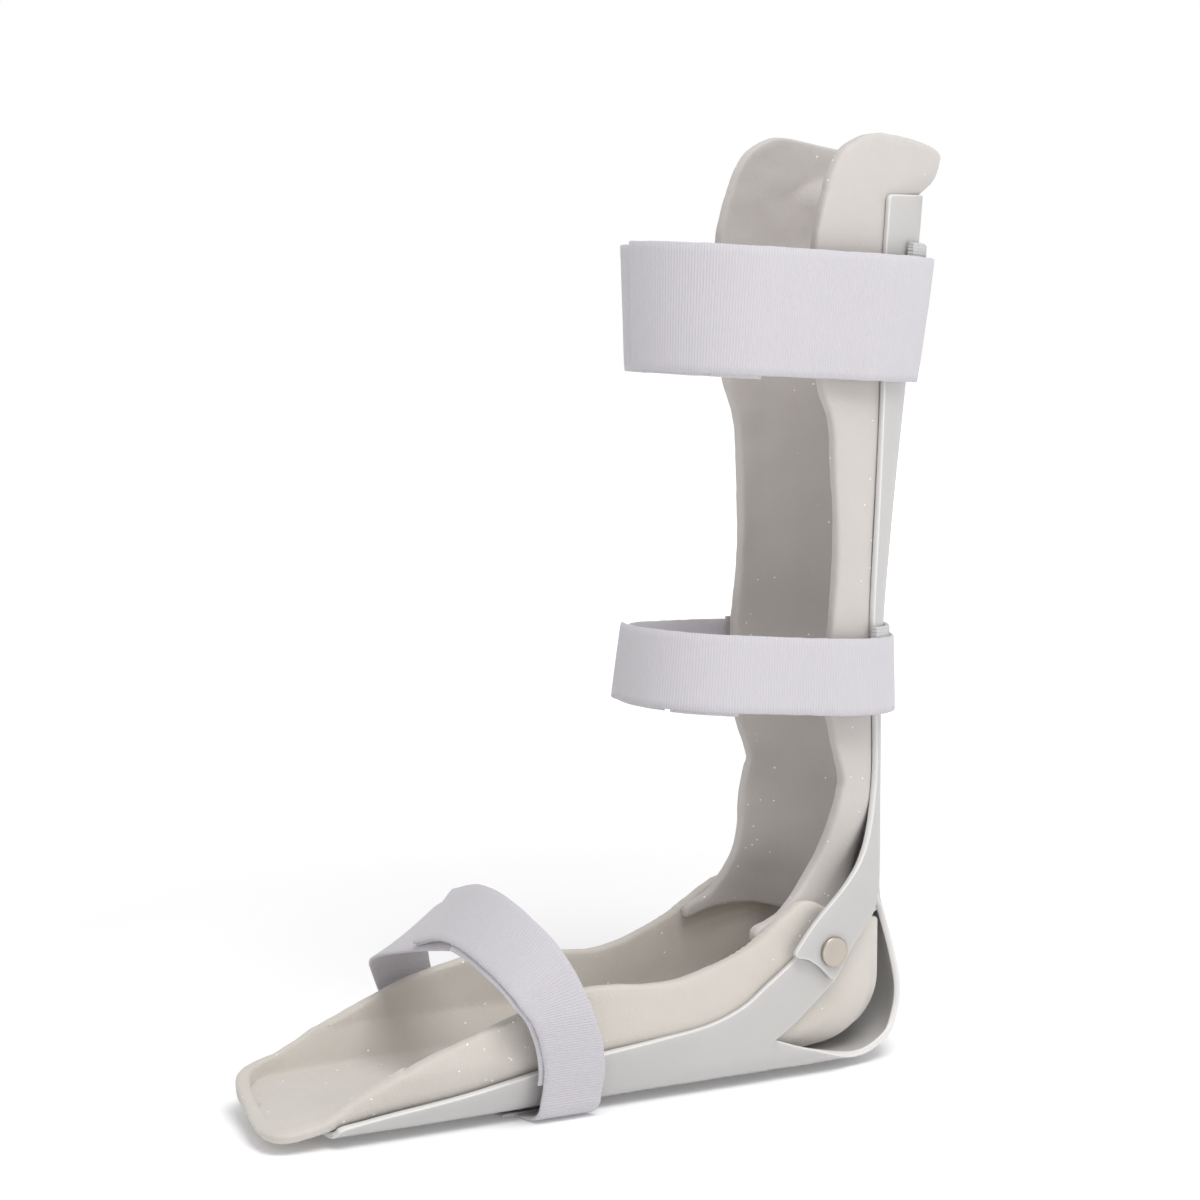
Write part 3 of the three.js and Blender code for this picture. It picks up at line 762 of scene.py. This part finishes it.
def band_table():
    """Cross-sections of the band at each millimetre of its length: how far out, and how far in
    from the centre line, a point lies that is so far across it."""
    lengths = np.arange(-12.0, BAND_LENGTH + 12, 1.0)
    girth = np.arange(0, 62, GIRTH_STEP)
    floor_share = 1 - ramp(lengths, 38, 80)
    radius = 46 - 6 * ramp(lengths, BAND_LENGTH - 45, BAND_LENGTH - 3)
    bend = ((girth > FLAT_HALF) & (girth < FLAT_HALF + SOLE_BEND * math.pi / 2)) / SOLE_BEND
    curvature = floor_share[:, None] * bend[None] + ((1 - floor_share) / radius)[:, None]
    angle = np.cumsum(curvature, axis=1) * GIRTH_STEP
    angle -= angle[:, :1]
    middle = (angle[:, 1:] + angle[:, :-1]) / 2
    out = np.cumsum(np.cos(middle), axis=1) * GIRTH_STEP
    rise = np.cumsum(np.sin(middle), axis=1) * GIRTH_STEP
    from_centre = ((0, 0), (1, 0))
    return lengths[0], np.pad(out, from_centre), np.pad(rise, from_centre)


TABLE_START, BAND_OUT, BAND_RISE = band_table()


def band_surface(uv):
    """Outside of the heel band: u runs across it from its middle, s along it from the sole."""
    u, s = uv[:, 0], uv[:, 1]
    side = np.where(u >= 0, -1.0, 1.0)
    rows, columns = BAND_OUT.shape
    row = np.clip(s - TABLE_START, 0, rows - 1.001)
    column = np.clip(np.abs(u) / GIRTH_STEP, 0, columns - 1.001)
    r, c = row.astype(int), column.astype(int)
    down, right = row - r, column - c

    def look_up(table):
        """The table's value between four of its entries."""
        above = table[r, c] * (1 - right) + table[r, c + 1] * right
        below = table[r + 1, c] * (1 - right) + table[r + 1, c + 1] * right
        return above * (1 - down) + below * down

    out, rise = look_up(BAND_OUT), look_up(BAND_RISE)
    y, z = path_at(s)
    along = unit(np.subtract(path_at(s + 0.5), path_at(s - 0.5)).T)
    return np.stack([side * out, y - along[:, 1] * rise, z + along[:, 0] * rise], axis=1)


def build_heel_band():
    """The strip from the sole round the heel to the post, narrow at its top."""
    slit_top = float(calf_girth(SLIT_TOP_Y, BAND_TOP, CALF_RADIUS))
    slit_low = float(foot_girth(BAND_START, SLIT_LOW_Z, 1.0))
    end = BAND_LENGTH
    half = graph([(-10, slit_low + 3), (0, slit_low), (11, 43), (22, 39.6), (32, 35.6), (40, 32.2),
                  (52, 30.5), (64, 29), (end - 57, 27.5), (end - 46, 25.5), (end - 35, 23),
                  (end - 25, 21), (end - 16, 20.5), (end - 8, 23), (end, slit_top)])
    s = np.linspace(0, end, 130)
    loop = closed_loop(*both_sides(-half(s), s))

    def dents(uv, depth):
        away_from_ends = ramp(uv[:, 1], 2, 15) * ramp(end - uv[:, 1], 2, 15)
        return wobble(uv, 45, 0.15, 11) * away_from_ends

    return sheet(
        "heel_band_look", loop, band_surface, SHEET, 2.6, CUT_EDGE,
        seam=lambda uv: (uv[:, 1] < 0.05) | (uv[:, 1] > end - 0.05), relief=dents,
    )


def foot_plan():
    """Plan of the foot seen from above, outside the plastic walls, as (-x, y) points."""
    turn = np.linspace(0, math.pi, 120)
    heel = np.stack([-FOOT_HALF * np.cos(turn), HEEL_CENTRE_Y + FOOT_HALF * np.sin(turn)], axis=1)
    y = np.linspace(0, -196, 197)
    lateral = np.stack([lateral_half(y), y], axis=1)
    toe = spline([(42.2, -199), (41, -212), (36, -222), (27, -228.5), (3, -235), (-16, -240),
                  (-28, -239.5), (-35, -233), (-FOOT_HALF, -220), (-FOOT_HALF, -205)], 10)
    medial = np.stack([np.full(200, -FOOT_HALF), np.linspace(-204, 3, 200)], axis=1)
    return anticlockwise(resample(np.vstack([heel, lateral, toe, medial]), 1.2, closed=True))


class Tub:
    """A tray's outside, unrolled: flat coordinates inside the floor's edge are the plan itself,
    and outside it they run up the bend and the wall."""

    def __init__(self, plan, inset):
        out = unit(smoothed(-inset_directions(plan), 10))
        y = plan[:, 1]
        self.bend = 9 + 19 * ramp(y, -50, 28) - 3 * ramp(-y, 190, 225)
        self.wall_angle = math.pi / 2 - np.arctan(wall_lean(y))
        self.inset = inset
        self.edge = smoothed(plan - out * (inset + self.bend)[:, None], 3)
        self.out = unit(smoothed(-inset_directions(self.edge), 10))

    def rim(self, height):
        """The loop at this height above the tray's floor, one value for each edge point."""
        bend_top = self.bend * (1 - np.cos(self.wall_angle))
        in_bend = self.bend * np.arccos(np.clip(1 - height / self.bend, -1, 1))
        leaning = np.minimum(height, UPRIGHT_FROM)
        above = self.bend * self.wall_angle + (leaning - bend_top) / np.sin(self.wall_angle)
        above = above + np.maximum(height - UPRIGHT_FROM, 0)
        girth = np.where(height < bend_top, in_bend, above)
        return self.edge + self.out * girth[:, None]

    def nearest_on_edge(self, uv):
        """For each point: the stretch of the floor's edge it is nearest to, how far along that
        stretch, the distance to it, and the way out from it."""
        start = self.edge
        stretch = np.roll(start, -1, axis=0) - start
        places = []
        for block in np.array_split(uv, max(len(uv) // 1500, 1)):
            from_start = block[:, None] - start[None]
            t = np.einsum("nmk,mk->nm", from_start, stretch) / (stretch * stretch).sum(axis=1)
            t = np.clip(t, 0, 1)
            off = block[:, None] - (start[None] + t[..., None] * stretch[None])
            distance = np.linalg.norm(off, axis=2)
            nearest = distance.argmin(axis=1)
            rows = np.arange(len(block))
            places.append(np.column_stack([
                nearest, t[rows, nearest], distance[rows, nearest], off[rows, nearest],
            ]))
        nearest, t, distance, off_u, off_v = np.vstack(places).T
        return nearest.astype(int), t, distance, np.stack([off_u, off_v], axis=1)

    def surface(self, uv):
        """Outside of the tray at flat coordinates."""
        index, t, distance, off = self.nearest_on_edge(uv)
        following = (index + 1) % len(self.edge)

        def between(values):
            return values[index] * (1 - t) + values[following] * t

        girth = np.where(inside(uv, self.edge), 0.0, distance)
        out = off / np.maximum(girth, 1e-6)[:, None]
        bend, wall_angle = between(self.bend), between(self.wall_angle)
        angle = np.clip(girth / bend, 0, wall_angle)
        rest = np.maximum(girth - bend * wall_angle, 0)
        leaning = (UPRIGHT_FROM - bend * (1 - np.cos(wall_angle))) / np.sin(wall_angle)
        upright = np.maximum(rest - leaning, 0)
        rest = rest - upright
        reach = bend * np.sin(angle) + rest * np.cos(wall_angle)
        height = bend * (1 - np.cos(angle)) + rest * np.sin(wall_angle) + upright
        plan = uv + out * (reach - girth)[:, None]
        droop = TOE_DROOP * ramp(-plan[:, 1], -SOLE_FRONT - 6, -LINER_FRONT)
        return np.stack([-plan[:, 0], plan[:, 1], self.inset + height - droop], axis=1)


# Height of the foot liner's rim, along the foot and, at the toes, from lateral to medial.
liner_rim = graph([(-260, 9), (-217, 12.8), (-199, 16.8), (-187, 21.6), (-174, 26.7),
                   (-159, 32), (-143, 37.4), (-115, 43.8), (-98, 44.6), (-78, 42.3), (-64, 42),
                   (-48.5, 45.9), (-36, 51.6), (-21, 63), (-13, 66.3), (-2, 61.3), (12, 60.2),
                   (30, 55), (60, 50)])
toe_rim = graph([(-50, 15), (-32, 14), (-20, 12), (5, 8.8), (22, 7.3), (50, 7.5)])


def build_foot_liner():
    """The foam inside the foot, with its heel cup and a rim that was cut by hand."""
    plan = foot_plan()
    tub = Tub(plan, SHEET + GAP)
    x, y = -plan[:, 0], plan[:, 1]
    at_toe = ramp(-y, 200, 224)
    rim = liner_rim(y) * (1 - at_toe) + toe_rim(x) * at_toe - tub.inset
    loop = anticlockwise(resample(tub.rim(rim), 1.4, closed=True))
    loop = cut_by_hand(loop, (9, 0.08, 31), (42, 0.4, 32))
    dents = pressed_in((30, 0.4, 33), (10, 0.12, 34))
    return sheet("foot_liner_look", loop, tub.surface, FOAM, 2.8, 1.6, dents)


finish_piece(build_foot_shell(), PLASTIC, "plastic", "foot", "foot_shell")
finish_bending_piece(build_heel_band(), PLASTIC, "plastic", ("foot", "calf"),
                     (0, 50, 26), (0, 42.5, 64), "heel_band")
finish_piece(build_foot_liner(), FOOT_FOAM, "foam", "foot", "foot_liner")

# ---- Straps ----

PATCH_THICKNESS = 2.4
CLEARANCE = 0.4  # between the post, the hook patch and the webbing
OVERLAP = 30  # of the two arms of a calf strap
LANE, FOOT_LANE, PATCH_LANE = 3.0, 2.6, 4.0  # width of the quads that a ribbon's mesh is made of


def stations(path, across, outward_hint):
    """Ribbon stations along a 3-D path: each point with its outward and across directions."""
    out = unit(np.cross(across, np.gradient(path, axis=0)))
    flip = np.sign(np.sum(out * outward_hint, axis=1, keepdims=True))
    return list(zip(path, out * flip, across))


def arc(radius, start, end, centre_y=0.0, count=60):
    """Points of an arc in the strap's plane; angles are measured from +x towards +y."""
    angle = np.linspace(start, end, count)
    return np.stack([radius * np.cos(angle), centre_y + radius * np.sin(angle)], axis=1)


def arm_path(back_radius, front_y, front_radius, past_middle):
    """From the post's side, pulled straight to the front of the leg and round it, in the strap's
    plane."""
    turn = math.asin((back_radius - front_radius) / -front_y)
    sweep = math.pi / 2 + math.asin(past_middle / front_radius)
    return np.vstack([arc(back_radius, 0, -turn), arc(front_radius, -turn, -sweep, front_y)])


def finish_arm(obj, name, start, end, *nodes):
    """Finishes an arm that runs from the calf or the foot to its own body; the bodies and the two
    places are passed on but not used, so it is not made to bend.
    The last of its CAD nodes has the arm's side as its name."""
    bodies = ("foot" if name == "foot_strap" else "calf", f"{name}_{nodes[-1]}_arm")
    nodes = [f"{name}_{node}" for node in nodes]
    finish_bending_piece(obj, LOOP_WEBBING, "webbing", bodies, start, end, *nodes)


def add_inner_layer(name, webbing, path, from_root, tab_length, shift):
    """The second layer of an outer arm: webbing, and a hook tab at the end."""
    run = distance_along(path)
    split = np.searchsorted(run, run[-1] - tab_length)
    lining = webbing("lining", path[np.searchsorted(run, from_root):split], LINING, shift)
    finish_piece(lining, LOOP_WEBBING, "webbing", f"{name}_medial_arm", f"{name}_medial_lining")
    tab = webbing("hook_tab", path[split + 1:], LINING, trim=2)
    finish_piece(tab, HOOK_MESH, "hook", f"{name}_medial_arm", f"{name}_hook_tab")


def calf_strap(name, width, patch_width, patch_shift, front_y, front_radius, cone, end, seed):
    """A hook patch on the post, and one run of webbing round the back whose two arms lap over
    each other at the front.

    The webbing leans outwards by `cone` for each millimetre up the leg, and its outer end lies
    `end` beyond the middle of the shin.
    """
    hinge = JOINTS[f"{name}_open"]
    origin = np.array([0, hinge["pos_m"][1] / MM, hinge["pos_m"][2] / MM])
    up = np.array(hinge["axis"], float)
    side = np.array([1.0, 0, 0])
    forward = np.cross(up, side)

    def place(flat, shift=0.0, lean=cone):
        """Stations for a path in the strap's plane, moved `shift` along the leg."""
        flat = resample(flat, 2.0)
        middle = np.clip(flat[:, 1], front_y, 0)
        outward = unit(np.outer(flat[:, 0], side) + np.outer(flat[:, 1] - middle, forward))
        across = unit(up + lean * outward)
        path = origin + np.outer(flat[:, 0], side) + np.outer(flat[:, 1], forward) + across * shift
        return stations(path, across, outward)

    def webbing(part, flat, thickness, shift=0.0, trim=0.0):
        """One run of the strap, narrower by the trim."""
        return ribbon(f"{name}_{part}_look", place(flat, shift), width - trim, thickness, LANE, seed)

    patch_radius = CALF_RADIUS + CLEARANCE
    patch_end = math.radians(26)
    post_lean = float(calf_centre(origin[2] + 1) - calf_centre(origin[2] - 1)) / 2 - up[1] / up[2]
    patch_path = place(arc(patch_radius, patch_end, math.pi - patch_end), patch_shift, post_lean)
    patch = ribbon(f"{name}_hook_patch_look", patch_path, patch_width, PATCH_THICKNESS, PATCH_LANE,
                   seed, 0.0)
    finish_piece(patch, HOOK_MESH, "hook", "calf", f"{name}_hook_patch")

    back_radius = patch_radius + PATCH_THICKNESS + CLEARANCE + abs(cone - post_lean) * width / 2
    root = side * back_radius
    arm = arm_path(back_radius, front_y, front_radius, end)
    whole = np.vstack([arc(back_radius, math.pi, 0, count=90)[:-1], arm])
    finish_arm(webbing("outer_arm", whole, WEBBING), name, origin + root + forward * 6,
               origin + root - forward * 12, "back", "medial")

    inner = arm_path(back_radius - (LINING + CLEARANCE), front_y, front_radius - LINING - 0.2, end - 1)
    add_inner_layer(name, webbing, inner, from_root=14, tab_length=34, shift=-1.3)

    under_radius = front_radius - WEBBING - LINING - 0.7
    under = arm_path(back_radius + 0.2, front_y, under_radius, OVERLAP - end)
    under[:, 0] *= -1
    finish_arm(webbing("under_arm", under, WEBBING, shift=-1.2), name,
               origin - root - forward, origin - root - forward * 14, "lateral")


calf_strap("upper_strap", width=49, patch_width=54, patch_shift=3, front_y=-43, front_radius=40,
           cone=0.085, end=-1.5, seed=41)
calf_strap("lower_strap", width=30, patch_width=34, patch_shift=2, front_y=-34, front_radius=36,
           cone=-0.07, end=14, seed=51)

# The foot strap's path in the front view (x, z), outside of the sole and the foot.
MEDIAL_HEM, LATERAL_HEM, HEM_HEIGHT = 42.3, -50.5, 6.0
MEDIAL_HEM_Y, LATERAL_HEM_Y = -120, -134
under_sole = [(LATERAL_HEM, HEM_HEIGHT), (-49.2, 1.6), (-45.5, -1.3), (-39, -2.2), (-20, -2.3),
              (0, -2.3), (20, -2.3), (31, -2.2), (37.5, -1.3), (41.2, 1.6), (MEDIAL_HEM, HEM_HEIGHT)]
medial_rise = spline([(MEDIAL_HEM, HEM_HEIGHT), (45.3, 17), (48.6, 30), (49.9, 43), (46, 58),
                      (30, 69.5), (12, 73), (-8, 68)])
lateral_rise = [(16, 69.6), (-2, 66.1), (-20, 61.1), (-36, 54.8), (-48, 46), (-54, 34),
                (-53.5, 18), (LATERAL_HEM, HEM_HEIGHT)]


def on_foot(path, shift=0.0):
    """Stations for a front-view path: it runs forwards towards the little toe, and on the way
    up the webbing moves forwards and turns to lie on the instep."""
    x, z = resample(path, 2.0).T
    forward = 0.15 * (MEDIAL_HEM - x) + 26 * ramp(z, 10, 83)
    slope = math.radians(48) * ramp(z, 34, 68)
    across = np.stack([0 * x, np.cos(slope), np.sin(slope)], axis=1)
    points = np.stack([x, MEDIAL_HEM_Y - forward, z], axis=1) + across * shift
    from_foot = np.stack([x, 0 * x, z - 30], axis=1)
    return stations(points, across, from_foot)


def foot_strap():
    """A hook patch under the sole, and one run of webbing across it that becomes the outer arm;
    the inner arm comes up on the far side."""
    name, width, seed = "foot_strap", 26, 61

    def webbing(part, path, thickness, shift=0.0, trim=0.0, wave=seed):
        """One run of the strap, narrower by the trim."""
        return ribbon(f"{name}_{part}_look", on_foot(path, shift), width - trim, thickness,
                      FOOT_LANE, wave)

    patch_path = on_foot([(-28, -1.6), (28, -1.6)])
    patch = ribbon(f"{name}_hook_patch_look", patch_path, 38, 1.2, PATCH_LANE, seed, 0.0)
    finish_piece(patch, HOOK_MESH, "hook", "foot", f"{name}_hook_patch")

    hem = np.array([MEDIAL_HEM, MEDIAL_HEM_Y, HEM_HEIGHT])
    whole = np.vstack([spline(under_sole)[:-1], medial_rise])
    finish_arm(webbing("outer_arm", whole, WEBBING), name, hem + [-2, 0, -6], hem + [1, 0, 10],
               "sole", "medial")

    across, rise = medial_rise.T
    normal = unit(np.stack([np.gradient(rise), -np.gradient(across)], axis=1))
    inner = medial_rise - normal * (LINING + 0.1)
    add_inner_layer(name, webbing, inner, from_root=6, tab_length=26, shift=-1.4)

    hem = np.array([LATERAL_HEM, LATERAL_HEM_Y, HEM_HEIGHT])
    under = webbing("under_arm", spline(lateral_rise)[::-1], WEBBING, wave=seed + 1)
    finish_arm(under, name, hem + [0, 0, 0.5], hem + [-1, 0, 12], "lateral")


foot_strap()

# ---- Ankle rivets ----

INNERMOST = 0.35  # radius of a head's innermost ring


def turned(name, profile, x, direction):
    """A body of revolution on the ankle axis; profile is (radius, distance outwards) points."""
    steps = 64
    points, faces = [], []
    for radius, out in profile:
        for k in range(steps):
            angle = 2 * math.pi * k / steps
            points.append((x + direction * out, radius * math.cos(angle),
                           ANKLE_HEIGHT + radius * math.sin(angle)))
    for ring in range(len(profile) - 1):
        for k in range(steps):
            a, b = ring * steps + k, ring * steps + (k + 1) % steps
            faces.append((a, b, b + steps, a + steps))
    last = (len(profile) - 1) * steps
    faces.append(tuple(range(steps))[::-1])
    faces.append(tuple(last + k for k in range(steps)))
    if direction < 0:
        faces = [face[::-1] for face in faces]
    return make_object(name, points, faces)


def rounded_head(radius, thickness, edge, dish):
    """Profile of a rivet head: flat underside, rounded rim, slightly dished face."""
    rim = [(radius - edge + edge * math.cos(a), thickness - edge + edge * math.sin(a))
           for a in np.linspace(0, math.pi / 2, 6)]
    face = [(r, thickness - dish * (1 - r / radius))
            for r in (radius * 0.7, radius * 0.3, INNERMOST)]
    return [(INNERMOST, 0.0), (radius - 0.2, 0.0), (radius, 0.15), *rim, *face]


# The CAD's thickness of each head, and its profile here.
HEADS = {
    "cap": (1.3, rounded_head(radius=6.0, thickness=1.45, edge=0.6, dish=0.12)),
    "post": (0.9, rounded_head(radius=5.0, thickness=0.95, edge=0.4, dish=0.05)),
}
for side, sign in (("medial", 1), ("lateral", -1)):
    for part, facing in (("cap", sign), ("post", -sign)):
        thickness, profile = HEADS[part]
        face = node_box(f"{side}_rivet_{part}")[(facing + 1) // 2][0]
        rivet = turned(f"{side}_rivet_{part}_look", profile, face - facing * thickness, facing)
        finish_piece(rivet, NICKEL, "nickel", "calf", f"{side}_rivet_{part}")

# ---- Camera, light and floor ----


def add_camera():
    """A long lens on the medial side, slightly above and towards the toes."""
    azimuth, elevation, distance = math.radians(60), math.radians(6.5), 1.218
    target = Vector((-0.0201, -0.0711, 0.1840))
    away = Vector((math.sin(azimuth) * math.cos(elevation),
                   -math.cos(azimuth) * math.cos(elevation), math.sin(elevation)))
    right = Vector((math.cos(azimuth), math.sin(azimuth), 0))
    turn = Matrix((right, away.cross(right), away)).transposed().to_4x4()
    data = bpy.data.cameras.new("camera")
    data.sensor_width = 36
    data.lens = 93
    camera = bpy.data.objects.new("camera", data)
    camera.matrix_world = Matrix.Translation(target + away * distance) @ turn
    bpy.context.scene.collection.objects.link(camera)
    bpy.context.scene.camera = camera


def add_area_light(name, place, target, size, power):
    """A round soft light at a place, turned to its target."""
    data = bpy.data.lights.new(name, "AREA")
    data.shape = "DISK"
    data.size = size
    data.energy = power
    light = bpy.data.objects.new(name, data)
    light.location = place
    light.rotation_euler = (Vector(target) - Vector(place)).to_track_quat("-Z", "Y").to_euler()
    bpy.context.scene.collection.objects.link(light)


def add_backdrop():
    """A world that is plain white to the camera and lights more gently."""
    world = bpy.data.worlds.new("studio")
    world.use_nodes = True
    tree = world.node_tree
    white = (1.0, 1.0, 1.0, 1.0)
    fill = tree.nodes["Background"]
    fill.inputs["Color"].default_value = white
    fill.inputs["Strength"].default_value = 0.6
    backdrop = tree.nodes.new("ShaderNodeBackground")
    backdrop.inputs["Color"].default_value = white
    chosen = tree.nodes.new("ShaderNodeMixShader")
    seen = tree.nodes.new("ShaderNodeLightPath").outputs["Is Camera Ray"]
    tree.links.new(seen, chosen.inputs["Fac"])
    tree.links.new(fill.outputs["Background"], chosen.inputs[1])
    tree.links.new(backdrop.outputs["Background"], chosen.inputs[2])
    tree.links.new(chosen.outputs["Shader"], tree.nodes["World Output"].inputs["Surface"])
    bpy.context.scene.world = world
    bpy.context.scene.view_settings.view_transform = "Standard"


def add_floor():
    """A white floor under the lowest CAD point, which glows more the further away it is, so that
    it runs into the backdrop without a horizon."""
    reach, low = 6.0, float(cad_low[2])
    mesh = bpy.data.meshes.new("floor")
    corners = [(-reach, -reach, low), (reach, -reach, low), (reach, reach, low), (-reach, reach, low)]
    mesh.from_pydata(corners, [], [(0, 1, 2, 3)])
    nodes = Nodes("studio_floor")
    distance = nodes.add("ShaderNodeVectorMath", {0: nodes.place()}, operation="LENGTH")
    glow = nodes.add("ShaderNodeMapRange", {
        "Value": distance.outputs["Value"], "From Min": 0.4, "From Max": 1.6, "To Min": 0.1,
        "To Max": 0.6,
    }).outputs["Result"]
    nodes.set(Base_Color=(0.93, 0.93, 0.94, 1.0), Roughness=0.6, Specular_IOR_Level=0.2,
              Emission_Color=(1.0, 1.0, 1.0, 1.0), Emission_Strength=glow)
    mesh.materials.append(nodes.material)
    floor = bpy.data.objects.new("floor", mesh)
    bpy.context.scene.collection.objects.link(floor)


add_camera()
add_backdrop()
add_area_light("key", (1.0, -0.1, 2.0), (0, -0.05, 0.15), size=1.2, power=29)
add_area_light("low_fill", (1.2, 0.3, 0.1), (0, 0, 0.05), size=0.8, power=2.5)
add_floor()
